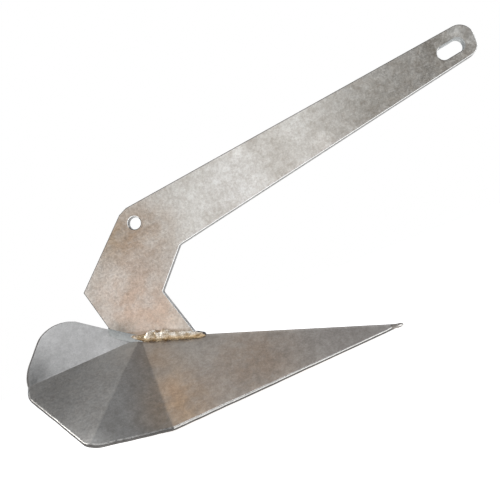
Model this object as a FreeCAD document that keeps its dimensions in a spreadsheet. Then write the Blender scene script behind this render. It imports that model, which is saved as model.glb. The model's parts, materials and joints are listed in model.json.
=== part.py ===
import FreeCAD, Part
import math
import os

import Sketcher
from FreeCAD import Placement, Rotation, Vector

# Welded plough anchor, about 5 kg.  +X points to the tip, +Z is up and the shank stands in the
# plane Y = 0.  The anchor rests on the tip and on the lower edges of its two blades.
# Every point below is given from the apex, where all creases of the fluke meet the shank's foot.

SIZES = {
    # where the apex lies, and the plates it is made from
    "apex_x": -174.7,
    "apex_height": 95.3,
    "plate_thickness": 5.0,
    "shank_thickness": 8.0,
    # shank outline, clockwise from the apex
    "heel_x": -26.7, "heel_z": 18.9,
    "back_x": -38.9, "back_z": 67.7,
    "crown_x": 32.5, "crown_z": 136.4,
    "crown_chamfer": 5.5,
    "eye_top_x": 462.0, "eye_top_z": 193.1,
    "eye_top_radius": 17.0,
    "eye_bottom_x": 462.4, "eye_bottom_z": 155.6,
    "eye_bottom_radius": 13.0,
    "elbow_x": 78.6, "elbow_z": 78.1,
    "throat_x": 42.6, "throat_z": 37.6,
    "throat_radius": 3.0,
    "toe_x": 59.8, "toe_z": -20.2,
    # openings in the shank
    "slot_x": 432.6, "slot_z": 168.0,
    "slot_angle": 9.5,
    "slot_half_length": 16.0,
    "slot_radius": 7.7,
    "trip_hole_x": 41.1, "trip_hole_z": 118.5,
    "trip_hole_radius": 7.0,
    # corners of one half of the fluke, from the middle outwards and round to the tail
    "tip_x": 273.4, "tip_z": -91.9,
    "blade_x": 24.6, "blade_y": 80.5, "blade_z": -91.7,
    "wing_x": -37.6, "wing_y": 118.5, "wing_z": -73.0,
    "wing_radius": 16.0,
    "flank_x": -120.3, "flank_y": 43.8, "flank_z": -5.6,
    "flank_radius": 44.0,
    "tail_x": -87.0, "tail_z": 61.5,
    "tail_radius": 31.0,
    # weld beads
    "foot_bead_radius": 6.6,
    "foot_bead_behind": 11.0,
    "foot_bead_ahead": 60.0,
    "foot_bead_drop": 0.6,
    "toe_bead_radius": 5.6,
    "heel_bead_radius": 4.5,
    "inner_bead_radius": 4.0,
    "inner_bead_drop": 10.0,
    "inner_bead_inset": 14.0,
    "seam_bead_end": 62.0,
    "cover_bead_radius": 2.5,
    "nose_radius": 3.4,
    "nose_length": 16.0,
    # ballast chamber under the tip
    "cover_back_x": 142.0,
    "cover_front_x": 246.0,
    "cover_height": 6.5,
    "cover_thickness": 4.0,
    "bulkhead_thickness": 4.0,
    "ballast_gap": 2.0,
}

NUDGE = 1.0  # how far a cut or a covered edge runs past the face that trims it

doc = FreeCAD.newDocument("plough_anchor")
sheet = doc.addObject("Spreadsheet::Sheet", "sizes")
for row, (alias, number) in enumerate(SIZES.items(), start=1):
    sheet.set(f"A{row}", alias)
    sheet.set(f"B{row}", str(number))
    sheet.setAlias(f"B{row}", alias)
doc.recompute()


def size(alias):
    """The number that the sheet holds under this alias."""
    return float(sheet.get(alias))


def point(name, side=0):
    """A named corner as a vector from the apex, on the given side of the middle plane."""
    has_y = f"{name}_y" in SIZES
    return Vector(size(f"{name}_x"), side * size(f"{name}_y") if has_y else 0.0, size(f"{name}_z"))


def bind(thing, prop, alias):
    """Drives a property from the sheet."""
    thing.setExpression(prop, f"sizes.{alias}")


def place_at_apex(thing):
    """Moves an object that is drawn from the apex to the anchor's own frame."""
    bind(thing, "Placement.Base.x", "apex_x")
    bind(thing, "Placement.Base.z", "apex_height")


# ---------------------------------------------------------------- sketches and bodies

def new_body(name):
    body = doc.addObject("PartDesign::Body", name)
    body.Label = name
    place_at_apex(body)
    return body


def plane_of(body, role):
    return next(item for item in body.Origin.OriginFeatures if item.Role == role)


def new_sketch(body, name, role="XZ_Plane"):
    sketch = body.newObject("Sketcher::SketchObject", name)
    sketch.AttachmentSupport = [(plane_of(body, role), "")]
    sketch.MapMode = "FlatFace"
    return sketch


def tilted_sketch(body, name, origin, along, normal):
    """A sketch through origin, with its x axis along one direction and facing another."""
    sketch = new_sketch(body, name, "XY_Plane")
    across = normal.cross(along)
    sketch.AttachmentOffset = Placement(origin, Rotation(along, across, normal, "ZXY"))
    return sketch


def draw_polygon(sketch, corners):
    """Closed outline through 2-D corners, its ends tied together."""
    count = len(corners)
    for index in range(count):
        start = Vector(*corners[index], 0)
        end = Vector(*corners[(index + 1) % count], 0)
        sketch.addGeometry(Part.LineSegment(start, end))
    for index in range(count):
        sketch.addConstraint(Sketcher.Constraint("Coincident", index, 2, (index + 1) % count, 1))


def fix_corner(sketch, line, name):
    """Ties the start of a line to a named corner in the sheet."""
    across = sketch.addConstraint(Sketcher.Constraint("DistanceX", -1, 1, line, 1, size(f"{name}_x")))
    upward = sketch.addConstraint(Sketcher.Constraint("DistanceY", -1, 1, line, 1, size(f"{name}_z")))
    bind(sketch, f"Constraints[{across}]", f"{name}_x")
    bind(sketch, f"Constraints[{upward}]", f"{name}_z")


def pad(body, sketch, name, alias, symmetric=False, reverse=False):
    feature = body.newObject("PartDesign::Pad", name)
    feature.Profile = sketch
    feature.SideType = "Symmetric" if symmetric else "One side"
    feature.Reversed = reverse
    bind(feature, "Length", alias)
    return feature


def pocket(body, sketch, name, depth, symmetric=False, reverse=False):
    """Cuts a sketch into the body, and checks that something was removed."""
    doc.recompute()
    before = body.Shape.Volume
    feature = body.newObject("PartDesign::Pocket", name)
    feature.Profile = sketch
    feature.SideType = "Symmetric" if symmetric else "One side"
    feature.Reversed = reverse
    feature.Length = depth
    doc.recompute()
    if body.Shape.Volume >= before - 0.01:
        raise RuntimeError(f"{name} cuts nothing")
    return feature


def upright_edges(shape, name):
    """Names of the edges along Y that pass through a corner given in the sheet."""
    corner = point(name)
    found = []
    for number, edge in enumerate(shape.Edges, start=1):
        first, last = edge.Vertexes[0].Point, edge.Vertexes[-1].Point
        apart = math.hypot(first.x - corner.x, first.z - corner.z)
        if apart < 0.01 and abs(first.y - last.y) > 1.0:
            found.append(f"Edge{number}")
    return found


def dress_corner(body, kind, corner, alias):
    """Fillets or chamfers the shank's corner by the size in the sheet."""
    doc.recompute()
    base = body.Tip
    feature = body.newObject(f"PartDesign::{kind}", f"{body.Name}_{corner}")
    feature.Base = (base, upright_edges(base.Shape, corner))
    bind(feature, "Radius" if kind == "Fillet" else "Size", alias)
    body.Tip = feature
    return feature


# ---------------------------------------------------------------- shank

def make_shank():
    """Flat plate: the foot on the fluke, the gooseneck and the long arm out to the eye."""
    body = new_body("shank")
    names = ["apex", "heel", "back", "crown", "eye_top", "eye_bottom", "elbow", "throat", "toe"]
    corners = [(0.0, 0.0)] + [(size(f"{name}_x"), size(f"{name}_z")) for name in names[1:]]
    outline = new_sketch(body, "shank_outline")
    draw_polygon(outline, corners)
    outline.addConstraint(Sketcher.Constraint("Coincident", 0, 1, -1, 1))
    for line, name in enumerate(names[1:], start=1):
        fix_corner(outline, line, name)
    pad(body, outline, "shank_plate", "shank_thickness", symmetric=True)
    dress_corner(body, "Chamfer", "crown", "crown_chamfer")
    dress_corner(body, "Fillet", "eye_top", "eye_top_radius")
    dress_corner(body, "Fillet", "eye_bottom", "eye_bottom_radius")
    dress_corner(body, "Fillet", "throat", "throat_radius")
    dress_corner(body, "Fillet", "elbow", "throat_radius")

    slot = new_sketch(body, "shackle_slot_outline")
    draw_slot(slot)
    pocket(body, slot, "shackle_slot", 4 * size("shank_thickness"), symmetric=True)

    hole = new_sketch(body, "trip_hole_outline")
    centre = point("trip_hole")
    hole.addGeometry(Part.Circle(Vector(centre.x, centre.z, 0), Vector(0, 0, 1), size("trip_hole_radius")))
    radius = hole.addConstraint(Sketcher.Constraint("Radius", 0, size("trip_hole_radius")))
    bind(hole, f"Constraints[{radius}]", "trip_hole_radius")
    pocket(body, hole, "trip_hole", 4 * size("shank_thickness"), symmetric=True)
    return body


def draw_slot(sketch):
    """Oblong hole with round ends, along the arm."""
    radius = size("slot_radius")
    reach = size("slot_half_length") - radius
    tilt = Placement(Vector(size("slot_x"), size("slot_z"), 0),
                     Rotation(Vector(0, 0, 1), size("slot_angle")))

    def at(x, y):
        return tilt.multVec(Vector(x, y, 0))

    sketch.addGeometry(Part.LineSegment(at(-reach, radius), at(reach, radius)))
    sketch.addGeometry(Part.Arc(at(reach, radius), at(reach + radius, 0), at(reach, -radius)))
    sketch.addGeometry(Part.LineSegment(at(reach, -radius), at(-reach, -radius)))
    sketch.addGeometry(Part.Arc(at(-reach, -radius), at(-reach - radius, 0), at(-reach, radius)))


# ---------------------------------------------------------------- fluke

def upward_normal(first, second):
    """Unit normal of the plane through the apex and two points, on its upper side."""
    normal = first.cross(second).normalize()
    return normal if normal.z > 0 else -normal


def fold_allowance(this, other):
    """How far two facets of a hollow fold run past it, so that their lower faces meet."""
    half_turn = this.getAngle(other) / 2
    return size("plate_thickness") * math.tan(half_turn)


def widen(corners, edge, amount):
    """Moves one edge of a 2-D polygon outwards by sliding its ends along the edges beside it."""
    count = len(corners)
    first, last = edge, (edge + 1) % count
    moved = list(corners)
    run = corners[last] - corners[first]
    for end, beyond in ((first, corners[first - 1]), (last, corners[(last + 1) % count])):
        along = corners[end] - beyond
        sine = math.sin(along.getAngle(run))
        moved[end] = corners[end] + along.normalize() * (amount / sine)
    return moved


def add_facet(body, name, ends, before, after):
    """Pads one flat facet, a triangle from the apex, from its upper face down.

    before and after say how far the facet runs past its two edges through the apex.
    """
    first, last = ends
    normal = upward_normal(first, last)
    sketch = tilted_sketch(body, f"{name}_outline", Vector(), Vector(first).normalize(), normal)
    flatten = sketch.AttachmentOffset.inverse()
    corners = [flatten.multVec(corner) for corner in (Vector(), first, last)]
    corners = widen(corners, 2, after)
    corners = widen(corners, 0, before)
    draw_polygon(sketch, [(corner.x, corner.y) for corner in corners])
    pad(body, sketch, name, "plate_thickness", reverse=True)


def round_corner(body, name, corner, before, after):
    """Cuts the plate's corner to the radius in the sheet, square to the plate."""
    radius = size(f"{name}_radius")
    toward = (before - corner).normalize()
    away = (after - corner).normalize()
    half_angle = toward.getAngle(away) / 2
    tangent = radius / math.tan(half_angle)
    inward = (toward + away).normalize()
    outward = inward * (-3 * radius)
    centre = corner + inward * (radius / math.sin(half_angle))
    middle = centre - inward * radius
    sketch = tilted_sketch(body, f"{body.Name}_{name}_corner", corner, toward, toward.cross(away).normalize())
    flatten = sketch.AttachmentOffset.inverse()
    side_step = (toward - away).normalize() * radius
    path = [corner + toward * tangent, corner + toward * tangent + side_step + outward / 3,
            corner + outward, corner + away * tangent - side_step + outward / 3, corner + away * tangent]
    flat = [flatten.multVec(spot) for spot in path]
    for start, end in zip(flat, flat[1:]):
        sketch.addGeometry(Part.LineSegment(start, end))
    sketch.addGeometry(Part.Arc(flat[-1], flatten.multVec(middle), flat[0]))
    pocket(body, sketch, f"{body.Name}_{name}_round", 8 * size("plate_thickness"), symmetric=True)


def trim_at_middle(body, side):
    """Cuts away what reaches past the middle plane, where the two halves are welded."""
    reach = 2 * size("tip_x")
    sketch = new_sketch(body, f"{body.Name}_middle")
    draw_polygon(sketch, [(-reach, -reach), (reach, -reach), (reach, reach), (-reach, reach)])
    pocket(body, sketch, f"{body.Name}_trim", reach, reverse=side > 0)


def make_fluke_plate(name, side):
    """One half of the fluke: a flat blank folded three times along creases from the apex."""
    body = new_body(name)
    tip, tail = point("tip"), point("tail")
    blade, wing, flank = point("blade", side), point("wing", side), point("flank", side)
    rays = [tip, blade, wing, flank, tail]
    normals = [upward_normal(first, last) for first, last in zip(rays, rays[1:])]
    blade_fold = fold_allowance(normals[0], normals[1])
    flank_fold = fold_allowance(normals[2], normals[3])
    add_facet(body, f"{name}_blade", (tip, blade), NUDGE, blade_fold)
    add_facet(body, f"{name}_wing", (blade, wing), blade_fold, 0.0)
    add_facet(body, f"{name}_flank", (wing, flank), 0.0, flank_fold)
    add_facet(body, f"{name}_tail", (flank, tail), flank_fold, NUDGE)
    round_corner(body, "wing", wing, blade, flank)
    round_corner(body, "flank", flank, wing, tail)
    round_corner(body, "tail", tail, flank, Vector())
    trim_at_middle(body, side)
    return body


# ---------------------------------------------------------------- weld beads

def add_bead(name, start, end, radius_alias):
    """A round bar with domed ends from start to end, drawn from the apex."""
    body = new_body(name)
    radius = size(radius_alias)
    length = (end - start).Length
    along = (end - start).normalize()
    normal = along.cross(Vector(0, 1, 0) if abs(along.y) < 0.9 else Vector(0, 0, 1)).normalize()
    sketch = tilted_sketch(body, f"{name}_half", start, along, normal)
    bulge = radius * math.sqrt(0.5)
    sketch.addGeometry(Part.LineSegment(Vector(-radius, 0, 0), Vector(length + radius, 0, 0)))
    sketch.addGeometry(Part.Arc(Vector(length + radius, 0, 0), Vector(length + bulge, bulge, 0),
                                Vector(length, radius, 0)))
    sketch.addGeometry(Part.LineSegment(Vector(length, radius, 0), Vector(0, radius, 0)))
    sketch.addGeometry(Part.Arc(Vector(0, radius, 0), Vector(-bulge, bulge, 0), Vector(-radius, 0, 0)))
    revolve = body.newObject("PartDesign::Revolution", f"{name}_turn")
    revolve.Profile = sketch
    revolve.ReferenceAxis = (sketch, ["H_Axis"])
    revolve.Angle = 360
    return body


def fuse(name, pieces):
    joined = doc.addObject("Part::MultiFuse", name)
    joined.Shapes = pieces
    joined.Label = name
    return joined


def cut(name, base, tool):
    """What is left of base where tool isn't."""
    rest = doc.addObject("Part::Cut", name)
    rest.Base = base
    rest.Tool = tool
    rest.Label = name
    return rest


def make_foot_weld(name, side, steelwork):
    """The wide bead along one side of the shank's foot, from behind the apex to the toe."""
    ridge, seam = point("tip").normalize(), point("tail").normalize()
    offset = Vector(0, side * size("shank_thickness") / 2, -size("foot_bead_drop"))
    start = seam * size("foot_bead_behind") + offset
    end = ridge * size("foot_bead_ahead") + offset
    bead = add_bead(f"{name}_bead", start, end, "foot_bead_radius")
    middle = add_middle_cutter(f"{name}_middle", side)
    return cut(name, bead, fuse(f"{name}_cutters", [steelwork, middle]))


def add_middle_cutter(name, side):
    """A block that fills the far side of the middle plane."""
    block = doc.addObject("Part::Box", name)
    reach = 2 * size("tip_x")
    block.Length, block.Width, block.Height = 2 * reach, reach, 2 * reach
    block.Placement = Placement(Vector(-reach, -reach if side > 0 else 0, -reach), Rotation())
    return block


def make_end_weld(name, spot, radius_alias, neighbours):
    """A short bead across the shank's thickness, at one end of its foot."""
    half = Vector(0, size("shank_thickness") / 2, 0)
    bead = add_bead(f"{name}_bead", spot - half, spot + half, radius_alias)
    return cut(name, bead, neighbours)


def make_inner_weld(name, start, end, steelwork):
    """A bead in the hollow corner beneath the line where the two half plates meet."""
    bead = add_bead(f"{name}_bead", start, end, "inner_bead_radius")
    return cut(name, bead, steelwork)


# ---------------------------------------------------------------- ballast chamber

def blade_half_width(x, z, depth):
    """Half the distance between the two blades at x and z, depth below their upper faces."""
    normal = upward_normal(point("tip"), point("blade", 1))
    return -(depth + normal.x * x + normal.z * z) / normal.y


def ridge_z(x, depth):
    """Height of the line where both blades, depth below their upper faces, meet."""
    normal = upward_normal(point("tip"), point("blade", 1))
    return -(depth + normal.x * x) / normal.z


def section_wire(x, floor, depth):
    """Triangle across the anchor at x: a flat floor and the two blades above it."""
    half = blade_half_width(x, floor, depth)
    corners = [Vector(x, -half, floor), Vector(x, half, floor), Vector(x, 0, ridge_z(x, depth))]
    return Part.makePolygon(corners + corners[:1])


def add_wedge(name, back, front, floor, depth, ceiling=None):
    """A solid between the blades from back to front, as a Part::Feature drawn from the apex."""
    solid = Part.makeLoft([section_wire(back, floor, depth), section_wire(front, floor, depth)], True)
    if ceiling is not None:
        reach = size("tip_x")
        slab = Part.makeBox(2 * reach, 2 * reach, ceiling - floor, Vector(-reach, -reach, floor))
        solid = solid.common(slab)
    wedge = doc.addObject("Part::Feature", name)
    wedge.Shape = solid
    place_at_apex(wedge)
    return wedge


def make_ballast_chamber(steelwork):
    """Bulkhead, cover plate and the ballast that they close in under the tip."""
    half_plate = size("plate_thickness") / 2
    ground = -size("apex_height")
    cover_floor = ground + size("cover_height")
    cover_top = cover_floor + size("cover_thickness")
    back, front = size("cover_back_x"), size("cover_front_x")
    inner_back = back + size("bulkhead_thickness")
    bulkhead = cut("ballast_bulkhead",
                   add_wedge("bulkhead_blank", back, inner_back, cover_top, half_plate), steelwork)
    cover = cut("ballast_cover",
                add_wedge("cover_blank", back, front, cover_floor, half_plate, cover_top), steelwork)
    gap = size("ballast_gap")
    ballast = cut("tip_ballast",
                  add_wedge("ballast_blank", inner_back, front - gap, cover_top, half_plate), steelwork)
    return [bulkhead, cover, ballast]


def make_cover_weld(name, side, neighbours):
    """The bead along one edge of the ballast cover."""
    floor = size("cover_height") - size("apex_height")
    depth = size("plate_thickness")
    clear = size("cover_bead_radius")
    back, front = size("cover_back_x") + clear, size("cover_front_x") - 6 * clear
    start = Vector(back, side * blade_half_width(back, floor, depth), floor)
    end = Vector(front, side * blade_half_width(front, floor, depth), floor)
    bead = add_bead(f"{name}_bead", start, end, "cover_bead_radius")
    return cut(name, bead, neighbours)


def make_bulkhead_weld(neighbours):
    """The bead along the back edge of the cover, under the bulkhead."""
    floor = size("cover_height") - size("apex_height") + size("cover_thickness")
    back = size("cover_back_x")
    half = blade_half_width(back, floor, size("plate_thickness")) - 4 * size("cover_bead_radius")
    bead = add_bead("bulkhead_weld_bead", Vector(back, -half, floor), Vector(back, half, floor),
                    "cover_bead_radius")
    return cut("bulkhead_weld", bead, neighbours)


def make_nose(steelwork):
    """The blunt lump of weld that joins the blades at the tip."""
    ridge = point("tip").normalize()
    end = point("tip")
    start = end - ridge * size("nose_length") - Vector(0, 0, size("nose_radius") / 2)
    bead = add_bead("nose_weld_bead", start, end, "nose_radius")
    return cut("nose_weld", bead, steelwork)


# ---------------------------------------------------------------- assembly

def build():
    """Makes every sub-part and returns the objects that are kept, by label."""
    shank = make_shank()
    starboard = make_fluke_plate("fluke_plate_starboard", -1)
    port = make_fluke_plate("fluke_plate_port", 1)
    plates = fuse("plates", [starboard, port])
    steelwork = fuse("steelwork", [shank, starboard, port])

    foot_welds = [make_foot_weld("foot_weld_starboard", -1, steelwork),
                  make_foot_weld("foot_weld_port", 1, steelwork)]
    foot = fuse("welded_foot", [steelwork] + foot_welds)
    toe = point("toe") + Vector(size("toe_bead_radius") / 2, 0, 0)
    heel = point("heel") - Vector(size("heel_bead_radius") / 3, 0, 0)
    end_welds = [make_end_weld("toe_weld", toe, "toe_bead_radius", foot),
                 make_end_weld("heel_weld", heel, "heel_bead_radius", foot)]

    chamber = make_ballast_chamber(plates)
    closed = fuse("closed_chamber", [plates] + chamber)
    cover_welds = [make_cover_weld("cover_weld_starboard", -1, closed),
                   make_cover_weld("cover_weld_port", 1, closed),
                   make_bulkhead_weld(closed)]
    nose = make_nose(closed)

    drop = Vector(0, 0, -size("inner_bead_drop"))
    inset = size("inner_bead_inset")
    ridge, seam = point("tip").normalize(), point("tail").normalize()
    ridge_weld = make_inner_weld("ridge_weld", ridge * inset + drop,
                                 ridge * (size("cover_back_x") - inset / 2) + drop, closed)
    seam_weld = make_inner_weld("seam_weld", seam * inset + drop,
                                seam * size("seam_bead_end") + drop, plates)
    return [shank, starboard, port, *foot_welds, *end_welds, *chamber, *cover_welds, nose,
            ridge_weld, seam_weld]


def export(nodes):
    """Checks every object and every node's shape, then writes one STEP file per node."""
    for thing in doc.Objects:
        if "Invalid" in thing.State or "Error" in thing.State:
            raise RuntimeError(f"{thing.Label} failed: {thing.State}")
    for node in nodes:
        if node.Shape.isNull() or not node.Shape.isValid() or not node.Shape.Solids:
            raise RuntimeError(f"{node.Label} has no valid solid")
    os.makedirs("parts", exist_ok=True)
    for node in nodes:
        node.Shape.exportStep(f"parts/{node.Label}.step")
        box = node.Shape.BoundBox
        print(f"{node.Label:24s} solids {len(node.Shape.Solids)} volume {node.Shape.Volume:10.0f}"
              f"  x {box.XMin:7.1f} {box.XMax:7.1f}  y {box.YMin:7.1f} {box.YMax:7.1f}"
              f"  z {box.ZMin:7.1f} {box.ZMax:7.1f}")


nodes = build()
doc.recompute()
export(nodes)
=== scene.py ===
import json
import math
import random

import bmesh
import bpy
from mathutils import Matrix, Vector, noise
from mathutils.bvhtree import BVHTree


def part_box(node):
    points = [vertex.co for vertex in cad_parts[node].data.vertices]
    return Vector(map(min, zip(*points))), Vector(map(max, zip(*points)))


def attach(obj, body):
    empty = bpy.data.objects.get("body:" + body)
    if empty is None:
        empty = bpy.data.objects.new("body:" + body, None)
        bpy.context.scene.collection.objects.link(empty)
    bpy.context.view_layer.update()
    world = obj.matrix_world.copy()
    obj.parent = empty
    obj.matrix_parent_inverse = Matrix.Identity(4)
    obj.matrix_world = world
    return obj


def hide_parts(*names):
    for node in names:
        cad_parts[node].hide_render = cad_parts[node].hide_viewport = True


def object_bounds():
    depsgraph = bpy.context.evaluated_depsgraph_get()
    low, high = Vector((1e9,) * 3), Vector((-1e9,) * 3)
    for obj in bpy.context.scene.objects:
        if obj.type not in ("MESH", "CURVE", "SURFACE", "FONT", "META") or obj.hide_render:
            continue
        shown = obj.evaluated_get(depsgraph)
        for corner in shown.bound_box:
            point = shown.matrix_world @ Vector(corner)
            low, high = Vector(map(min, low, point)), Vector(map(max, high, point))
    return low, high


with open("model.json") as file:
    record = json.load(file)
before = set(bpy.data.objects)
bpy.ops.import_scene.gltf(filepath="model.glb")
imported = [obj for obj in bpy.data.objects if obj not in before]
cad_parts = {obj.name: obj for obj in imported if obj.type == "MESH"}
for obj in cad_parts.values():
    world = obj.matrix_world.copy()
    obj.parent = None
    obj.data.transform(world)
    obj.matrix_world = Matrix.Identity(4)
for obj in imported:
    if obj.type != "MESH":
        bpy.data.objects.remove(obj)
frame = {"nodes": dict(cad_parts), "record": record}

CAD_LOW, CAD_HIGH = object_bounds()
MM = 0.001

# The picture is taken from starboard, square to the shank. The camera is rolled, so that the
# anchor's nose shows tipped up.
PICTURE_ROLL = math.radians(21.6)
PICTURE_RIGHT = Vector((math.cos(PICTURE_ROLL), 0, -math.sin(PICTURE_ROLL)))
PICTURE_UP = Vector((math.sin(PICTURE_ROLL), 0, math.cos(PICTURE_ROLL)))
CAMERA_DISTANCE = 0.55
CAMERA_FROM_APEX = (0.1701, 0.0663)
CAMERA_SHIFT = (-0.09, 0.069)


# ---------------------------------------------------------------- mesh helpers

def new_object(name, mesh):
    piece = bpy.data.objects.new(name, mesh)
    bpy.context.collection.objects.link(piece)
    return piece


def keep(piece, nodes, materials):
    """A finished piece: it rides on the body, stands for its CAD nodes and gets its materials."""
    for material in materials:
        piece.data.materials.append(material)
    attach(piece, "root")
    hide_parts(*nodes)


def row_copy(node):
    """The CAD node's shape as a bmesh in the row frame."""
    bm = bmesh.new()
    item = frame["nodes"][node]
    bm.from_mesh(item.data)
    bm.transform(item.matrix_world)
    return bm


def clean_copy(node):
    """The same, with its triangles joined into large flat faces."""
    bm = row_copy(node)
    bmesh.ops.remove_doubles(bm, verts=bm.verts, dist=0.02 * MM)
    bmesh.ops.dissolve_limit(bm, angle_limit=math.radians(1.2), verts=bm.verts, edges=bm.edges)
    return bm


def find_arrises(bm):
    """Edges where two faces meet at roughly a right angle."""
    pairs = [edge for edge in bm.edges if len(edge.link_faces) == 2]
    return [edge for edge in pairs if 50 <= math.degrees(edge.calc_face_angle(0)) <= 130]


def bevel(bm, edges, width, segments, material=-1):
    bmesh.ops.bevel(bm, geom=edges, offset=width, offset_type="OFFSET", segments=segments,
                    profile=0.5, affect="EDGES", clamp_overlap=True, material=material)


def finish_mesh(bm, name, sharp_from=32):
    """A smooth-shaded mesh, with sharp edges where faces turn by more than sharp_from degrees."""
    mesh = bpy.data.meshes.new(name)
    bmesh.ops.recalc_face_normals(bm, faces=bm.faces)
    bm.to_mesh(mesh)
    bm.free()
    mesh.shade_smooth()
    mesh.set_sharp_from_angle(angle=math.radians(sharp_from))
    return mesh


def add_weighted_normals(piece):
    modifier = piece.modifiers.new("even_normals", "WEIGHTED_NORMAL")
    modifier.keep_sharp = True


# ---------------------------------------------------------------- places on the anchor

def node_points(node):
    """Vertices of a CAD node in the row frame."""
    item = frame["nodes"][node]
    return [item.matrix_world @ vertex.co for vertex in item.data.vertices]


def centre_of(node):
    low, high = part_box(node)
    return (low + high) / 2


def find_apex():
    """The shank's foot is a shallow V: the apex is its point farthest below the heel-toe line."""
    heel, toe = centre_of("heel_weld"), centre_of("toe_weld")
    across = Vector((toe.z - heel.z, 0, heel.x - toe.x)).normalized()
    between = [p for p in node_points("shank") if heel.x + 5 * MM < p.x < toe.x - 10 * MM]
    apex = max(between, key=lambda p: (p - heel).dot(across))
    return Vector((apex.x, 0, apex.z))


APEX = find_apex()
HEEL = centre_of("heel_weld")
TOE = centre_of("toe_weld")
SHANK_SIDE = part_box("shank")[1].y


def find_rays(node):
    """Directions from the apex along the ridge, the three creases and the seam."""
    bm = clean_copy(node)
    on_middle, folds = [], []
    for edge in bm.edges:
        ends = [vertex.co - APEX for vertex in edge.verts]
        near_end, far_end = sorted(ends, key=lambda end: end.length)
        through_apex = (far_end - near_end).normalized().dot(far_end.normalized()) > 0.99999
        if through_apex and far_end.length > 60 * MM:
            rays = on_middle if abs(far_end.y) < 1 * MM else folds
            rays.append(far_end.normalized())
    bm.free()
    ridge = max(on_middle, key=lambda ray: ray.x)
    seam = min(on_middle, key=lambda ray: ray.x)
    return [ridge, *sorted(folds, key=lambda ray: -ray.x), seam]


# Directions from the apex along the ridge and the creases, in the order that they fan out.
RIDGE_RAY, BLADE_RAY, WING_RAY, FLANK_RAY = find_rays("fluke_plate_starboard")[:4]

# The eye is the shank's end, with the shackle slot in it.
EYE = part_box("shank")[1] - Vector((0.03, 0, 0.02))
SLOT = Vector(next(m for m in frame["record"]["mounts"] if m["name"] == "shackle_slot")["pos_m"])

# Up, square to the front half of the foot, and the ends of the beads along the foot.
FOOT_UP = Vector((APEX.z - TOE.z, 0, TOE.x - APEX.x)).normalized()
FOOT_BEAD_START = APEX.lerp(HEEL, 0.42)
FOOT_BEAD_END = TOE + (TOE - APEX).normalized() * 5 * MM


def ahead_of(ray):
    """Normal of the plane that shows as the given crease in a side view, facing the tip."""
    return Vector((-ray.z, 0, ray.x)).normalized()


# ---------------------------------------------------------------- node helpers

# The colour sockets of a Mix node: its first and second input, and its output.
MIX_FIRST, MIX_SECOND, MIX_RESULT = 6, 7, 2


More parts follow.
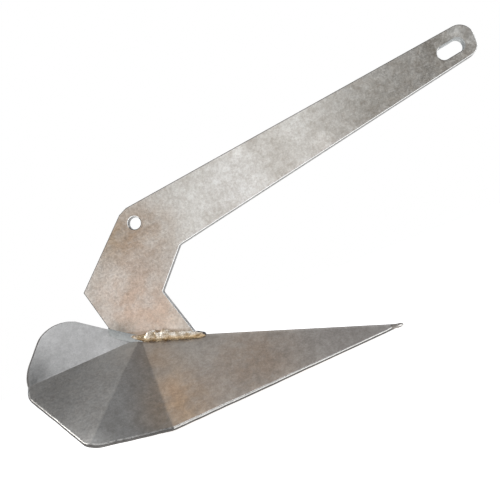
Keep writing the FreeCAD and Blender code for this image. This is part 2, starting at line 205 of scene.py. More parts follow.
class Nodes:
    """A short way to write a material's node tree."""

    def __init__(self, material):
        material.use_nodes = True
        self.tree = material.node_tree
        self.tree.nodes.clear()
        self.place = self.add("ShaderNodeTexCoord").outputs["Object"]

    def add(self, kind, **settings):
        node = self.tree.nodes.new(kind)
        for key, value in settings.items():
            setattr(node, key, value)
        return node

    def link(self, source, target):
        self.tree.links.new(source, target)

    def feed(self, node, socket, value):
        """Sets a socket, or links it when the value is another socket."""
        if isinstance(value, bpy.types.NodeSocket):
            self.link(value, node.inputs[socket])
        else:
            node.inputs[socket].default_value = value

    def stretched(self, scale, turn):
        """The place, turned and then scaled by axis, for marks that run in one direction."""
        node = self.add("ShaderNodeMapping")
        self.link(self.place, node.inputs["Vector"])
        node.inputs["Scale"].default_value = scale
        node.inputs["Rotation"].default_value = turn
        return node.outputs["Vector"]

    def noise(self, scale, detail, rough, distort=0.0, vector=None):
        node = self.add("ShaderNodeTexNoise")
        self.link(vector or self.place, node.inputs["Vector"])
        node.inputs["Scale"].default_value = scale
        node.inputs["Detail"].default_value = detail
        node.inputs["Roughness"].default_value = rough
        node.inputs["Distortion"].default_value = distort
        return node.outputs["Fac"]

    def cells(self, scale):
        node = self.add("ShaderNodeTexVoronoi")
        self.link(self.place, node.inputs["Vector"])
        node.inputs["Scale"].default_value = scale
        return node.outputs["Color"]

    def remap(self, value, low, high, to_low=0.0, to_high=1.0):
        node = self.add("ShaderNodeMapRange", clamp=True, interpolation_type="SMOOTHSTEP")
        for socket, number in (("Value", value), ("From Min", low), ("From Max", high),
                               ("To Min", to_low), ("To Max", to_high)):
            self.feed(node, socket, number)
        return node.outputs["Result"]

    def math(self, operation, first, second=0.0):
        node = self.add("ShaderNodeMath", operation=operation)
        self.feed(node, 0, first)
        self.feed(node, 1, second)
        return node.outputs[0]

    def mix(self, amount, first, second, blend="MIX"):
        node = self.add("ShaderNodeMix", data_type="RGBA", blend_type=blend)
        self.feed(node, 0, amount)
        self.feed(node, MIX_FIRST, first)
        self.feed(node, MIX_SECOND, second)
        return node.outputs[MIX_RESULT]

    def mirrored(self):
        """The place, with both halves of the anchor folded onto the starboard one."""
        parts = self.add("ShaderNodeSeparateXYZ")
        self.link(self.place, parts.inputs[0])
        starboard = self.math("MULTIPLY", self.math("ABSOLUTE", parts.outputs["Y"]), -1.0)
        whole = self.add("ShaderNodeCombineXYZ")
        self.link(parts.outputs["X"], whole.inputs["X"])
        self.link(starboard, whole.inputs["Y"])
        self.link(parts.outputs["Z"], whole.inputs["Z"])
        return whole.outputs[0]

    def offset_from(self, centre, vector):
        shift = self.add("ShaderNodeVectorMath", operation="SUBTRACT")
        self.link(vector, shift.inputs[0])
        shift.inputs[1].default_value = centre
        return shift.outputs[0]

    def near(self, centre, reach, vector):
        """1 at a place on the anchor, falling softly to 0 at the given reach."""
        size = self.add("ShaderNodeVectorMath", operation="LENGTH")
        self.link(self.offset_from(centre, vector), size.inputs[0])
        return self.remap(size.outputs["Value"], 0.0, reach, 1.0, 0.0)

    def beyond(self, vector, normal, low, high):
        """0 to 1 between two distances from the plane through the apex with this normal."""
        dot = self.add("ShaderNodeVectorMath", operation="DOT_PRODUCT")
        self.link(self.offset_from(APEX, vector), dot.inputs[0])
        dot.inputs[1].default_value = normal
        return self.remap(dot.outputs["Value"], low, high)

    def bump(self, height, distance, strength, under=None):
        node = self.add("ShaderNodeBump")
        node.inputs["Strength"].default_value = strength
        node.inputs["Distance"].default_value = distance
        self.link(height, node.inputs["Height"])
        if under is not None:
            self.link(under, node.inputs["Normal"])
        return node.outputs["Normal"]

    def surface(self, color, roughness, metallic, normal):
        shader = self.add("ShaderNodeBsdfPrincipled")
        self.feed(shader, "Base Color", color)
        self.feed(shader, "Roughness", roughness)
        self.feed(shader, "Metallic", metallic)
        self.link(normal, shader.inputs["Normal"])
        output = self.add("ShaderNodeOutputMaterial")
        self.link(shader.outputs["BSDF"], output.inputs["Surface"])


def shade(red, green, blue):
    """A linear colour from the eight-bit values that one reads off a paint card."""
    def linear(part):
        part /= 255
        return part / 12.92 if part <= 0.04045 else ((part + 0.055) / 1.055) ** 2.4
    return (linear(red), linear(green), linear(blue), 1.0)


# ---------------------------------------------------------------- materials

GRIT_GREY = (0.05, 0.05, 0.05, 1.0)


def galvanised(name, light, dark, stains_and_painted_light=(), painted_light_bands=(), roughness=0.42, metallic=0.75, contrast=1.0):
    """Weathered hot-dip zinc: cloudy patches, faint crystals, scuffs, scratches and stained spots, with
    any painted light and shade that the caller passes in.

    stains_and_painted_light holds (centre, reach, tint, strength) for patches with a tint of their own:
    real stained spots, and the painted highlights and painted shade that a caller puts in.
    painted_light_bands holds (plane, low, high, tint, strength) for painted light and shade that grow
    from one distance to another off a plane through the apex, given by its normal. A tint multiplies
    the colour, so parts above 1 lighten it. Both halves are tinted alike.
    """
    material = bpy.data.materials.new(name)
    n = Nodes(material)
    mirrored = n.mirrored()
    clouds = n.noise(20, 3, 0.5, 0.1)
    blotches = n.noise(120, 6, 0.75, 0.15)
    fine = n.noise(420, 5, 0.7, 0.1)
    grit = n.noise(900, 3, 0.7)
    crystals = n.cells(190)
    scratches = n.noise(60, 4, 0.8, 0.0, n.stretched((1.0, 1.0, 16.0), (0, math.radians(-32), 0)))
    long_marks = n.noise(26, 3, 0.7, 0.2, n.stretched((0.6, 1.0, 24.0), (0, math.radians(24), 0)))

    cloudy = n.remap(clouds, 0.36, 0.66, 0.0, 0.30)
    blotchy = n.remap(blotches, 0.38, 0.64, 0.0, 0.34)
    amount = n.math("ADD", cloudy, blotchy)
    amount = n.math("ADD", amount, n.remap(fine, 0.38, 0.62, 0.0, 0.36))
    color = n.mix(amount, dark, light)
    crystal_value = n.add("ShaderNodeSeparateColor")
    n.link(crystals, crystal_value.inputs[0])
    color = n.mix(0.12 * contrast, color, n.mix(crystal_value.outputs[0], dark, light))
    for plane, low, high, tint, strength in painted_light_bands:
        share = n.math("MULTIPLY", n.beyond(mirrored, plane, low, high), strength)
        color = n.mix(share, color, tint, "MULTIPLY")
    for index, (centre, reach, tint, strength) in enumerate(stains_and_painted_light):
        uneven = n.remap(n.noise(44 + 9 * index, 5, 0.65, 0.3), 0.30, 0.62, 0.5, 1.0)
        spot = n.math("MULTIPLY", n.near(centre, reach, mirrored), uneven)
        color = n.mix(n.math("MULTIPLY", spot, strength), color, tint, "MULTIPLY")
    marks = n.remap(scratches, 0.57, 0.70, 0.0, 0.42 * contrast)
    color = n.mix(marks, color, light)
    color = n.mix(n.remap(long_marks, 0.62, 0.76, 0.0, 0.20 * contrast), color, dark)
    color = n.mix(n.remap(grit, 0.35, 0.65, 0.0, 0.12), color, GRIT_GREY)

    blotchy_sheen = n.remap(blotches, 0.3, 0.7, 0.12, -0.08)
    fine_sheen = n.remap(fine, 0.3, 0.7, -0.08, 0.08)
    rough = n.math("ADD", n.math("ADD", blotchy_sheen, fine_sheen), roughness)
    normal = n.bump(clouds, 1.6 * MM, 0.30)
    normal = n.bump(blotches, 0.45 * MM, 0.55, normal)
    normal = n.bump(fine, 0.14 * MM, 0.8, normal)
    normal = n.bump(grit, 0.05 * MM, 0.7, normal)
    n.surface(color, rough, metallic, normal)
    return material


def weld_metal(name, light, dark, roughness, tips=(), shadow=None):
    """Zinc over a rough bead: brown in the hollows, with painted glints in bright stripes.

    tips holds (centre, reach, tint) for ends that darken; shadow tints the lower side.
    """
    material = bpy.data.materials.new(name)
    n = Nodes(material)
    patches = n.noise(130, 3, 0.5, 0.6)
    grain = n.noise(330, 4, 0.6, 0.4)
    glint_streaks = n.noise(90, 3, 0.6, 0.8, n.stretched((1.0, 1.0, 3.0), (0, math.radians(38), 0)))
    color = n.mix(n.remap(patches, 0.38, 0.60), dark, light)
    color = n.mix(n.remap(grain, 0.40, 0.60, 0.0, 0.30), color, dark)
    # Painted glints: near-white stripes.
    color = n.mix(n.remap(glint_streaks, 0.56, 0.62, 0.0, 0.95), color, shade(252, 250, 246))
    mirrored = n.mirrored()
    for centre, reach, tint in tips:
        color = n.mix(n.near(centre, reach, mirrored), color, tint, "MULTIPLY")
    if shadow is not None:
        lower_side = n.beyond(mirrored, -FOOT_UP, -1.5 * MM, 2.5 * MM)
        color = n.mix(lower_side, color, shadow, "MULTIPLY")
    rough = n.remap(grain, 0.35, 0.65, roughness + 0.12, roughness - 0.10)
    normal = n.bump(patches, 1.6 * MM, 0.8)
    normal = n.bump(grain, 0.25 * MM, 0.6, normal)
    n.surface(color, rough, 0.5, normal)
    return material


def cast_block(name):
    """Dark, pitted cast metal."""
    material = bpy.data.materials.new(name)
    n = Nodes(material)
    pits = n.noise(420, 6, 0.7)
    color = n.mix(n.remap(pits, 0.35, 0.65), shade(74, 74, 78), shade(112, 112, 116))
    n.surface(color, n.remap(pits, 0.3, 0.7, 0.55, 0.75), 0.6, n.bump(pits, 0.4 * MM, 0.8))
    return material


# Stained patches, painted light and painted shade are placed from the apex, the eye or the slot, in
# metres in the row frame.
SHANK_ZINC = galvanised(
    "shank_zinc", shade(236, 234, 229), shade(184, 176, 166),
    # The band is a painted shadow: the shank darkens from 7.6 mm to 6 mm above the foot's line, just
    # over the weld bead, and stays darker below.
    painted_light_bands=[(-FOOT_UP, -7.6 * MM, -6.0 * MM, shade(196, 180, 160), 0.5)],
    stains_and_painted_light=[(APEX + Vector((0.01, 0, 0.035)), 0.085, shade(244, 217, 199), 0.95),
            (APEX + Vector((0.038, 0, 0.008)), 0.034, (1.12, 1.02, 0.94, 1.0), 0.9),
            # Painted shade where the shank meets the tail.
            (APEX + Vector((-0.018, 0, 0.010)), 0.026, shade(172, 182, 184), 1.0),
            (APEX + Vector((0.046, 0, 0.105)), 0.062, shade(226, 210, 197), 1.0),
            (APEX + Vector((0.015, 0, 0.112)), 0.048, shade(226, 209, 190), 1.0),
            # A painted sheen on the arm, a painted glint, a pale streak and a second painted glint.
            (APEX + Vector((0.158, 0, 0.113)), 0.060, (1.16, 1.18, 1.22, 1.0), 0.9),
            (APEX + Vector((0.173, 0, 0.153)), 0.020, (1.25, 1.26, 1.28, 1.0), 0.9),
            (APEX + Vector((0.249, 0, 0.151)), 0.026, (1.16, 1.18, 1.20, 1.0), 0.9),
            (APEX + Vector((0.265, 0, 0.125)), 0.018, (1.35, 1.36, 1.38, 1.0), 0.9),
            # The eye's end and the arm before it are darkened as painted shade; round the slot the zinc
            # is lighter.
            (EYE, 0.100, shade(172, 168, 162), 1.0),
            (SLOT + Vector((0.008, 0, 0.008)), 0.028, (1.42, 1.46, 1.50, 1.0), 1.0),
            (EYE - Vector((0.09, 0, 0.03)), 0.110, shade(196, 194, 190), 0.9)])
FLUKE_ZINC = galvanised(
    "fluke_zinc", shade(188, 182, 175), shade(146, 139, 132),
    # These are painted shade and painted light on the fold's facets: darker behind the blade crease,
    # lighter behind the wing crease and darker again farther back, darker near the tip, and a painted
    # highlight along the ridge.
    painted_light_bands=[(-ahead_of(BLADE_RAY), -1.5 * MM, 1.5 * MM, shade(214, 220, 226), 1.0),
           (-ahead_of(WING_RAY), -1 * MM, 2 * MM, (1.55, 1.52, 1.48, 1.0), 1.0),
           (-ahead_of(WING_RAY), 12 * MM, 60 * MM, shade(216, 216, 216), 1.0),
           (ahead_of(BLADE_RAY), 90 * MM, 200 * MM, shade(236, 236, 238), 1.0),
           (ahead_of(RIDGE_RAY), -2.8 * MM, -0.8 * MM, (1.32, 1.34, 1.36, 1.0), 0.8)],
    stains_and_painted_light=[(APEX + BLADE_RAY * 0.102 + Vector((0.012, 0, 0)), 0.055, (1.26, 0.99, 0.74, 1.0), 1.0),
            (APEX + BLADE_RAY * 0.062 + Vector((0.012, 0, 0)), 0.046, (1.08, 0.94, 0.80, 1.0), 0.9),
            (APEX + BLADE_RAY * 0.030 + Vector((0.008, 0, 0)), 0.030, (1.04, 0.92, 0.80, 1.0), 0.9),
            # A painted glint at the wing's corner, then a lighter patch near the tip.
            (APEX + WING_RAY * 0.134, 0.016, (1.6, 1.6, 1.6, 1.0), 0.8),
            (APEX + RIDGE_RAY * 0.282, 0.034, (1.22, 1.26, 1.30, 1.0), 0.9),
            (APEX + Vector((0.11, -0.03, -0.065)), 0.080, shade(246, 226, 208), 0.8)])
# A lighter copy of the fluke's zinc for the tail, as painted light on its upturned faces; its tinted
# patches are painted shade at the flank crease and next to the shank at the apex.
TAIL_PAINTED_LIGHT = galvanised("tail_painted_light", shade(211, 210, 209), shade(178, 177, 176), contrast=0.6,
                       stains_and_painted_light=[(APEX + FLANK_RAY * 0.118, 0.056, shade(150, 150, 149), 1.0),
                               (APEX, 0.040, shade(196, 196, 194), 0.9)])
# Painted highlights on arrises: bright on the blade, brightest on the shank's arrises that face the
# picture's lower right, and softer on the other facets and the small plates.
BRIGHT_EDGE_HIGHLIGHT = galvanised("bright_edge_highlight", shade(250, 249, 246), shade(196, 193, 188), roughness=0.24,
                        metallic=0.9, contrast=0.6)
SHANK_EDGE_HIGHLIGHT = galvanised("shank_edge_highlight", shade(255, 255, 254), shade(246, 245, 242), roughness=0.20,
                         metallic=0.85, contrast=0.2)
SOFT_EDGE_HIGHLIGHT = galvanised("soft_edge_highlight", shade(226, 224, 220), shade(112, 108, 104), roughness=0.30,
                       metallic=0.85)
# Painted shade: dark on rims, on arrises turned from the light and on the toe's fillet, medium on the
# shank's sides, and bluish grey where the shank meets the tail and on the slot's walls.
RIM_PAINTED_SHADE = galvanised("rim_painted_shade", shade(104, 101, 98), shade(70, 67, 64), roughness=0.55,
                      metallic=0.25)
SIDE_PAINTED_SHADE = galvanised("side_painted_shade", shade(146, 143, 139), shade(104, 101, 98), metallic=0.4)
HEEL_PAINTED_SHADE = galvanised("heel_painted_shade", shade(184, 186, 185), shade(146, 148, 147), contrast=0.5)
WELD_ZINC = weld_metal("weld_zinc", shade(238, 229, 216), shade(168, 147, 118), 0.26,
                       tips=[(FOOT_BEAD_START, 14 * MM, shade(150, 130, 104)),
                             (TOE + Vector((5 * MM, 0, 0)), 10 * MM, shade(190, 174, 150))],
                       shadow=shade(224, 206, 176))
NOSE_ZINC = weld_metal("nose_zinc", shade(150, 144, 138), shade(92, 86, 82), 0.42)
BALLAST_IRON = cast_block("ballast_iron")


# ---------------------------------------------------------------- plates

# Places in a piece's list of materials. The first three serve every plate, the next two the
# shank, and the last two the fluke and the small plates.
FACE, ARRIS, RIM = 0, 1, 2
SLOT_WALL, SIDE = 3, 4
TAIL, BRIGHT = 3, 4
SHANK_MATERIALS = [SHANK_ZINC, SHANK_EDGE_HIGHLIGHT, RIM_PAINTED_SHADE, HEEL_PAINTED_SHADE, SIDE_PAINTED_SHADE]
FLUKE_MATERIALS = [FLUKE_ZINC, SOFT_EDGE_HIGHLIGHT, RIM_PAINTED_SHADE, TAIL_PAINTED_LIGHT, BRIGHT_EDGE_HIGHLIGHT]

SHANK_ARRIS = 2.6 * MM
SLOT_ARRIS = 1.9 * MM
SMALL_ARRIS = 0.5 * MM
SLOT_REACH = 18 * MM

# How squarely a face looks to port or starboard: from 1 on a flat face to 0 on the plate's edge.
FLAT_FACING, HIGHLIGHT_FACING, EDGE_FACING = 0.995, 0.66, 0.1


def make_shank():
    bm = clean_copy("shank")
    bevel(bm, [edge for edge in find_arrises(bm) if not is_at_slot(edge)], SHANK_ARRIS, 6)
    bevel(bm, [edge for edge in find_arrises(bm) if is_at_slot(edge)], SLOT_ARRIS, 5)
    for face in bm.faces:
        face.material_index = shank_material(face)
    piece = new_object("shank_plate", finish_mesh(bm, "shank_plate"))
    add_weighted_normals(piece)
    keep(piece, ["shank"], SHANK_MATERIALS)


def shank_material(face):
    """Painted highlight on arrises that face the picture's lower right, painted shade on the other
    arrises, the sides and the slot's walls that face the foot.
    """
    facing = abs(face.normal.y)
    if facing > FLAT_FACING:
        return FACE
    faces_foot = face.normal.dot(PICTURE_RIGHT + PICTURE_UP) < 0
    if faces_foot and is_near_slot(face.calc_center_median()):
        return SLOT_WALL
    if facing < EDGE_FACING:
        return SIDE
    outward = Vector((face.normal.x, 0, face.normal.z)).normalized()
    faces_low_right = outward.dot(PICTURE_RIGHT - PICTURE_UP) > 0.08
    return ARRIS if faces_low_right and facing > HIGHLIGHT_FACING else RIM


def is_near_slot(place):
    return Vector((place.x - SLOT.x, 0, place.z - SLOT.z)).length < SLOT_REACH


def is_at_slot(edge):
    """True for an edge round the shackle slot."""
    return all(is_near_slot(vertex.co) for vertex in edge.verts)


# The creases, counted from the ridge, and how softly each is folded, as an angle at the apex.
BLADE_FOLD, WING_FOLD, FLANK_FOLD = 1, 2, 3
CREASE_SOFTNESS = {BLADE_FOLD: math.radians(1.6), WING_FOLD: math.radians(2.2),
                   FLANK_FOLD: math.radians(0.8)}
FAN_STEPS = 110
PLATE = 5.0 * MM
ARRIS_RADIUS = 2.3 * MM
SMALL_TURN = math.radians(0.25)


def slerp(first, last, share):
    """The direction at a share of the way from one to another, at an even pace."""
    angle = first.angle(last)
    return (first * math.sin((1 - share) * angle) + last * math.sin(share * angle)) / math.sin(angle)


class FoldedSheet:
    """Directions from the apex over the folded plate, by the angle on the flat blank."""

    def __init__(self, rays):
        self.rays = rays
        self.marks = [0.0]
        for first, last in zip(rays, rays[1:]):
            self.marks.append(self.marks[-1] + first.angle(last))
        self.total = self.marks[-1]

    def sharp(self, turn):
        """The direction on flat facets that meet at sharp creases."""
        turn = min(max(turn, 0.0), self.total)
        facet = 0
        while facet < len(self.rays) - 2 and turn > self.marks[facet + 1]:
            facet += 1
        share = (turn - self.marks[facet]) / (self.marks[facet + 1] - self.marks[facet])
        return slerp(self.rays[facet], self.rays[facet + 1], share)

    def softness(self, turn):
        nearest = min(CREASE_SOFTNESS, key=lambda fold: abs(turn - self.marks[fold]))
        room = min(turn, self.total - turn)
        return min(CREASE_SOFTNESS[nearest], room)

    def direction(self, turn):
        """Averages the sharp folds over a small angle, which rounds them like a cone."""
        reach = self.softness(turn)
        taps = []
        for step in range(-4, 5):
            weight = math.cos(step * math.pi / 10)
            taps.append(self.sharp(turn + reach * step / 4) * weight)
        return sum(taps, Vector()).normalized()

    def normal(self, turn):
        """The upper face's normal, from two directions close together."""
        before = self.direction(max(0, turn - SMALL_TURN))
        after = self.direction(min(self.total, turn + SMALL_TURN))
        normal = before.cross(after).normalized()
        return normal if normal.z > 0 else -normal


def outline_reach(tree, sheet, turn):
    """Distance from the apex to the plate's outline, found by a ray just under its upper face."""
    inside = min(max(turn, SMALL_TURN), sheet.total - SMALL_TURN)
    along, normal = sheet.sharp(inside), sheet.normal(inside)
    start = APEX + along * 50 * MM - normal * 0.05 * MM
    edge_place = tree.ray_cast(start, along)[0]
    return (edge_place - APEX).length


def spaced_turns(sheet):
    """Angles on the blank: even steps, closer together at the creases."""
    turns = {round(sheet.total * step / FAN_STEPS, 6) for step in range(FAN_STEPS + 1)}
    for fold, soft in CREASE_SOFTNESS.items():
        for step in range(-5, 6):
            turns.add(round(sheet.marks[fold] + soft * step / 4, 6))
    return sorted(turns)


def section_of(reach, arris_kind, arris_end):
    """Distance and depth below the upper face, out to the rim and back under the plate.

    The rounded arris shows its painted highlight down to the angle arris_end, in degrees, and painted
    shade past it and on the rim.
    """
    shares = (0.012, 0.05, 0.11, 0.2, 0.3, 0.4, 0.5, 0.6, 0.7, 0.8, 0.88, 0.95, 1.0)
    flat = [share * (reach - ARRIS_RADIUS) for share in shares]
    corner = []
    for degrees in (18, 36, 54, 72, 90):
        angle = math.radians(degrees)
        distance = reach - ARRIS_RADIUS * (1 - math.sin(angle))
        depth = ARRIS_RADIUS * (1 - math.cos(angle))
        corner.append((distance, depth, arris_kind if degrees < arris_end else RIM))
    under = [(distance, PLATE - depth, RIM) for distance, depth, _ in reversed(corner)]
    under += [(distance, PLATE, FACE) for distance in reversed(flat)]
    return [(distance, 0.0, FACE) for distance in flat] + corner + under


def arris_at(turn, sheet):
    """Material of the arris's painted highlight and the angle in degrees where it ends, by facet; the
    tail's arris is all painted shade.
    """
    if turn < sheet.marks[BLADE_FOLD]:
        return BRIGHT, 60
    if turn < sheet.marks[FLANK_FOLD]:
        return ARRIS, 40
    return RIM, 0


def make_fluke_plate(side_name, sign):
    """One half of the fluke, fanned out from the apex so that its folds are cones."""
    node = f"fluke_plate_{side_name}"
    sheet = FoldedSheet(find_rays(node))
    source = row_copy(node)
    tree = BVHTree.FromBMesh(source)
    source.free()
    bm = bmesh.new()
    rows = []
    turns = spaced_turns(sheet)
    for turn in turns:
        along, normal = sheet.direction(turn), sheet.normal(turn)
        reach = outline_reach(tree, sheet, turn)
        edge_place = APEX + along * reach
        reach += 0.3 * MM * noise.noise(edge_place * 90) - 0.1 * MM
        row = []
        for distance, depth, kind in section_of(reach, *arris_at(turn, sheet)):
            place = APEX + along * distance - normal * depth
            place += normal * 0.22 * MM * noise.noise(place * 38)
            place.y = sign * max(0.0, sign * place.y)
            place.z = max(place.z, CAD_LOW.z)
            row.append((bm.verts.new(place), kind))
        rows.append(row)
    for turn, first, second in zip(turns[1:], rows, rows[1:]):
        # Past the flank crease the faces take the tail's painted lighter copy of the zinc.
        face_kind = TAIL if turn > sheet.marks[FLANK_FOLD] else FACE
        for index in range(len(first) - 1):
            (near, _), (far, kind) = first[index], first[index + 1]
            (next_near, _), (next_far, _) = second[index], second[index + 1]
            face = bm.faces.new((near, next_near, next_far, far))
            face.material_index = face_kind if kind == FACE else kind
        bm.faces.new((first[-1][0], second[-1][0], second[0][0], first[0][0]))
    for row in (rows[0], rows[-1]):
        bm.faces.new([vertex for vertex, _ in row])
    bmesh.ops.remove_doubles(bm, verts=bm.verts, dist=0.01 * MM)
    bmesh.ops.triangulate(bm, faces=[face for face in bm.faces if len(face.verts) > 4])
    piece = new_object(f"fluke_{side_name}", finish_mesh(bm, node, sharp_from=60))
    keep(piece, [node], FLUKE_MATERIALS)


# ---------------------------------------------------------------- weld beads

BEAD_STEP = 0.8 * MM
BEAD_END = 0.25 * MM
BEAD_SIDES = 28
JITTERS = 400

# Radii of the beads: at the foot, along the ridge and the seam, and round the ballast.
FOOT_BEAD, TOE_BEAD, HEEL_BEAD = 6.6 * MM, 2.8 * MM, 4.8 * MM
JOINING_BEAD, CLOSING_BEAD = 4.0 * MM, 2.4 * MM


def rounded_path(corners):
    """Corners of a path, softened by cutting them four times and then spaced evenly."""
    points = [Vector(corner) for corner in corners]
    for _ in range(4):
        softer = [points[0]]
        for a, b in zip(points, points[1:]):
            softer += [a.lerp(b, 0.25), a.lerp(b, 0.75)]
        points = softer + [points[-1]]
    spaced = [points[0]]
    carried = 0.0
    for a, b in zip(points, points[1:]):
        length = (b - a).length
        at = BEAD_STEP - carried
        while at < length:
            spaced.append(a.lerp(b, at / length))
            at += BEAD_STEP
        carried = (carried + length) % BEAD_STEP
    return spaced


def make_bead(name, corners, radius, nodes, material=WELD_ZINC, ripple=0.12, pitch=4.6 * MM,
              rough=0.10, seed=1, thickness=None, run=1.0, flatness=1.0):
    """A run of weld: overlapping crescent ripples along a path, uneven as weld is, with round ends.

    thickness, when given, is a function of a point on the path that scales the radius there.
    Where it passes run, the bead's crest rises and its lower line stays as it was.
    flatness scales the bead sideways.
    """
    random.seed(seed)
    path = rounded_path(corners)
    count = len(path)
    bm = bmesh.new()
    rings = []
    travelled = 0.0
    jitter = [random.uniform(-0.25, 0.25) for _ in range(JITTERS)]
    for index, spot in enumerate(path):
        before = path[max(index - 1, 0)]
        after = path[min(index + 1, count - 1)]
        along = (after - before).normalized()
        side = along.cross(Vector((0, 0, 1)))
        side = side.normalized() if side.length > 0.2 else Vector((0, 1, 0))
        upward = side.cross(along).normalized()
        travelled += (spot - before).length
        size = radius * (thickness(spot) if thickness else 1.0)
        centre = spot + Vector((0, 0, max(0.0, size - run * radius)))
        from_end = min(index, count - 1 - index) * BEAD_STEP + BEAD_END
        rise = min(1.0, from_end / radius)
        size *= math.sqrt(rise * (2 - rise))
        ring = []
        for turn in range(BEAD_SIDES):
            angle = 2 * math.pi * turn / BEAD_SIDES
            phase = travelled / pitch + 0.45 * math.cos(angle) ** 2
            phase += jitter[int(phase) % JITTERS]
            crest = (phase % 1.0) ** 1.6
            direction = side * math.cos(angle) * flatness + upward * math.sin(angle)
            base = centre + direction * size
            lumps = noise.noise(base * 260 + Vector((seed, 0, 0))) + 0.5 * noise.noise(base * 620)
            swell = 1 + ripple * (crest - 0.5) + rough * lumps
            ring.append(bm.verts.new(centre + direction * size * swell))
        rings.append(ring)
    for first, second in zip(rings, rings[1:]):
        for turn in range(BEAD_SIDES):
            following = (turn + 1) % BEAD_SIDES
            bm.faces.new((first[turn], first[following], second[following], second[turn]))
    for ring, spot in ((rings[0], path[0]), (rings[-1], path[-1])):
        middle = bm.verts.new(spot)
        for turn in range(BEAD_SIDES):
            bm.faces.new((middle, ring[(turn + 1) % BEAD_SIDES], ring[turn]))
    piece = new_object(name, finish_mesh(bm, name, sharp_from=75))
    keep(piece, nodes, [material])


# The foot's bead is shaped like a leaf: its thickness against the share of its length,
# with two crests that stand up from a run of even thickness.
LEAF = [(0.0, 0.04), (0.10, 0.36), (0.20, 0.62), (0.27, 0.92), (0.35, 0.94), (0.40, 0.78),
        (0.43, 0.94), (0.48, 0.96), (0.54, 0.74), (0.72, 0.70), (0.86, 0.54), (0.94, 0.26), (1.0, 0.06)]
RUN_THICKNESS = 0.68


def leaf_thickness(share):
    for (left, low), (right, high) in zip(LEAF, LEAF[1:]):
        if share <= right:
            part = (share - left) / (right - left)
            return low + (high - low) * part * part * (3 - 2 * part)
    return LEAF[-1][1]


def make_foot_beads():
    """The welds at the shank's foot: a fat run on each side, small smooth fillets at heel and toe."""
    start, end = FOOT_BEAD_START, FOOT_BEAD_END
    length = (end - start).length
    for side_name, sign in (("starboard", -1), ("port", 1)):
        out = Vector((0, sign * (SHANK_SIDE + 0.3 * MM), -0.6 * MM))
        corners = [start + out, APEX + out, APEX.lerp(TOE, 0.3) + out, APEX.lerp(TOE, 0.85) + out,
                   end + Vector((0, sign * 2.5 * MM, -3.0 * MM))]
        make_bead(f"foot_bead_{side_name}", corners, FOOT_BEAD, [f"foot_weld_{side_name}"],
                  thickness=lambda spot: leaf_thickness((spot.x - start.x) / length),
                  ripple=0.10, rough=0.20, pitch=6.4 * MM, seed=3 + sign, run=RUN_THICKNESS,
                  flatness=0.75)
    out = Vector((0, SHANK_SIDE, 0))
    back = (TOE - APEX) * 0.1
    ahead = Vector((2.2 * MM, 0, -2.6 * MM))
    corners = [TOE - out * 0.8 - back, TOE - out * 0.4 + ahead, TOE + out * 0.4 + ahead,
               TOE + out * 0.8 - back]
    # The toe's fillet is in painted shade.
    make_bead("toe_bead", corners, TOE_BEAD, ["toe_weld"], RIM_PAINTED_SHADE, ripple=0.03, rough=0.06, seed=21)
    middle = APEX.lerp(HEEL, -0.1)
    drop = Vector((0, 0, -3.0 * MM))
    corners = [middle - out + drop, HEEL - out + drop, HEEL - Vector((0.5 * MM, 0, 1 * MM)),
               HEEL + out + drop, middle + out + drop]
    # The heel's fillet is in painted shade, which blends the shank into the tail.
    make_bead("heel_bead", corners, HEEL_BEAD, ["heel_weld"], HEEL_PAINTED_SHADE, ripple=0.01, rough=0.03,
              seed=22, flatness=0.26)


def make_straight_beads():
    """The welds that hold the halves together and close in the ballast, seen from below."""
    r = JOINING_BEAD
    for part, seed in (("ridge", 5), ("seam", 6)):
        low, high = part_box(f"{part}_weld")
        ends = [Vector((low.x + r, 0, high.z - r)), Vector((high.x - r, 0, low.z + r))]
        make_bead(f"{part}_bead", ends, r, [f"{part}_weld"], pitch=3.6 * MM, seed=seed)
    r = CLOSING_BEAD
    low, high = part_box("bulkhead_weld")
    middle = (low.z + high.z) / 2
    ends = [Vector((high.x, low.y + r, middle)), Vector((high.x, high.y - r, middle))]
    make_bead("bulkhead_bead", ends, r, ["bulkhead_weld"], pitch=3.0 * MM, seed=7)
    for side_name, sign in (("starboard", -1), ("port", 1)):
        low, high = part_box(f"cover_weld_{side_name}")
        wide = max(abs(low.y), abs(high.y)) - r
        narrow = min(abs(low.y), abs(high.y)) + r
        ends = [Vector((low.x + r, sign * wide, high.z)), Vector((high.x - r, sign * narrow, high.z))]
        make_bead(f"cover_bead_{side_name}", ends, r, [f"cover_weld_{side_name}"], pitch=3.0 * MM,
                  seed=8 + sign)


def make_nose():
    """The blunt weld at the tip: a bead that runs out thin above the floor."""
    low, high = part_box("nose_weld")
    thick, thin = 3.4 * MM, 1.9 * MM
    start = Vector((low.x + thick, 0, high.z - thick - 2.8 * MM))
    end = Vector((high.x - thin, 0, low.z + thin + 0.4 * MM))

    def taper(spot):
        share = (spot.x - start.x) / (end.x - start.x)
        return 1 + (thin / thick - 1) * share

    make_bead("nose_bead", [start, end], thick, ["nose_weld"], NOSE_ZINC, ripple=0.03, rough=0.05,
              seed=11, thickness=taper)


# ---------------------------------------------------------------- ballast

def dress_node(node, material):
    """A CAD node that keeps its own shape, with this material on it."""
    item = frame["nodes"][node]
    item.data.materials.clear()
    item.data.materials.append(material)


def make_small_plates():
    """Cover and bulkhead of the ballast, with their arrises taken off and given a painted highlight."""
    for node in ("ballast_cover", "ballast_bulkhead"):
        bm = clean_copy(node)
        bevel(bm, find_arrises(bm), SMALL_ARRIS, 2, ARRIS)
        piece = new_object(f"{node}_plate", finish_mesh(bm, node))
        keep(piece, [node], FLUKE_MATERIALS)


# ---------------------------------------------------------------- studio

WHITE = (1.0, 1.0, 1.0, 1.0)

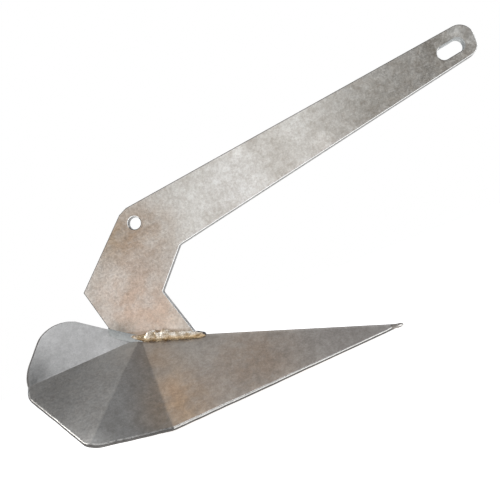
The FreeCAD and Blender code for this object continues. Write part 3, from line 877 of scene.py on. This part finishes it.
# The floor and the world are nearly white to the camera, and light the anchor more weakly.
FLOOR_SIZE = 6.0
FLOOR_GLOW_SEEN, FLOOR_GLOW_CAST = 0.85, 0.72
WORLD_SEEN, WORLD_CAST = 1.0, 0.38


def make_floor():
    bm = bmesh.new()
    bmesh.ops.create_grid(bm, x_segments=2, y_segments=2, size=FLOOR_SIZE)
    mesh = bpy.data.meshes.new("floor")
    bm.to_mesh(mesh)
    bm.free()
    floor = new_object("floor", mesh)
    material = bpy.data.materials.new("pale_floor")
    n = Nodes(material)
    shader = n.add("ShaderNodeBsdfPrincipled")
    shader.inputs["Base Color"].default_value = (0.93, 0.93, 0.93, 1.0)
    shader.inputs["Roughness"].default_value = 0.9
    shader.inputs["Emission Color"].default_value = WHITE
    seen = n.add("ShaderNodeLightPath").outputs["Is Camera Ray"]
    glow = n.remap(seen, 0.0, 1.0, FLOOR_GLOW_CAST, FLOOR_GLOW_SEEN)
    n.link(glow, shader.inputs["Emission Strength"])
    output = n.add("ShaderNodeOutputMaterial")
    n.link(shader.outputs["BSDF"], output.inputs["Surface"])
    mesh.materials.append(material)


def make_world():
    world = bpy.data.worlds.new("studio")
    bpy.context.scene.world = world
    world.use_nodes = True
    tree = world.node_tree
    tree.nodes.clear()
    path = tree.nodes.new("ShaderNodeLightPath")
    seen = tree.nodes.new("ShaderNodeBackground")
    seen.inputs["Color"].default_value = WHITE
    seen.inputs["Strength"].default_value = WORLD_SEEN
    fill = tree.nodes.new("ShaderNodeBackground")
    fill.inputs["Color"].default_value = (0.80, 0.84, 0.90, 1.0)
    fill.inputs["Strength"].default_value = WORLD_CAST
    mix = tree.nodes.new("ShaderNodeMixShader")
    output = tree.nodes.new("ShaderNodeOutputWorld")
    tree.links.new(path.outputs["Is Camera Ray"], mix.inputs["Fac"])
    tree.links.new(fill.outputs[0], mix.inputs[1])
    tree.links.new(seen.outputs[0], mix.inputs[2])
    tree.links.new(mix.outputs[0], output.inputs["Surface"])


def add_light(name, place, target, width, height, power, color=(1, 1, 1)):
    """A rectangular lamp at a place, aimed at the target, with its power in watts."""
    light = bpy.data.lights.new(name, "AREA")
    light.shape = "RECTANGLE"
    light.size, light.size_y = width, height
    light.energy = power
    light.color = color
    lamp = bpy.data.objects.new(name, light)
    bpy.context.collection.objects.link(lamp)
    lamp.location = place
    lamp.rotation_mode = "QUATERNION"
    lamp.rotation_quaternion = (Vector(target) - Vector(place)).to_track_quat("-Z", "Y")


def in_picture(right, up, toward):
    """A place given from the apex along the picture's own directions, and towards the camera."""
    return APEX + PICTURE_RIGHT * right + PICTURE_UP * up - Vector((0, toward, 0))


def make_lights():
    centre = (CAD_LOW + CAD_HIGH) / 2
    arm = in_picture(0.13, 0.19, 0)
    add_light("window", in_picture(0.06, 0.42, 1.1), arm, 0.55, 0.40, 0.85, (1.0, 0.98, 0.95))
    add_light("left", in_picture(-1.4, 0.3, 0.5), centre, 0.8, 0.8, 11.0, (1.0, 0.99, 0.97))
    add_light("above", in_picture(0.10, 1.5, 0.25), centre, 1.2, 0.8, 1.2, (1.0, 0.98, 0.96))
    add_light("above_front", in_picture(0.0, 1.3, 0.75), centre, 0.6, 0.6, 1.35)
    add_light("above_left", in_picture(-0.8, 1.1, 0.6), centre, 0.7, 0.7, 1.7)
    add_light("right", in_picture(1.2, 0.9, 0.35), centre, 0.6, 0.6, 2.0)
    add_light("back", centre + Vector((0.3, 1.7, 0.5)), centre, 1.6, 0.9, 5.0)


def make_camera():
    data = bpy.data.cameras.new("camera")
    data.lens = 36.0
    data.sensor_width = 36.0
    data.shift_x, data.shift_y = CAMERA_SHIFT
    camera = bpy.data.objects.new("camera", data)
    bpy.context.collection.objects.link(camera)
    place = in_picture(*CAMERA_FROM_APEX, CAMERA_DISTANCE)
    turn = Matrix((PICTURE_RIGHT, PICTURE_UP, Vector((0, -1, 0)))).transposed()
    camera.matrix_world = Matrix.Translation(place) @ turn.to_4x4()
    bpy.context.scene.camera = camera


make_camera()
make_shank()
make_fluke_plate("starboard", -1)
make_fluke_plate("port", 1)
make_foot_beads()
make_straight_beads()
make_nose()
make_small_plates()
dress_node("tip_ballast", BALLAST_IRON)
make_floor()
make_world()
make_lights()
bpy.context.scene.view_settings.view_transform = "Standard"
bpy.context.scene.view_settings.look = "None"
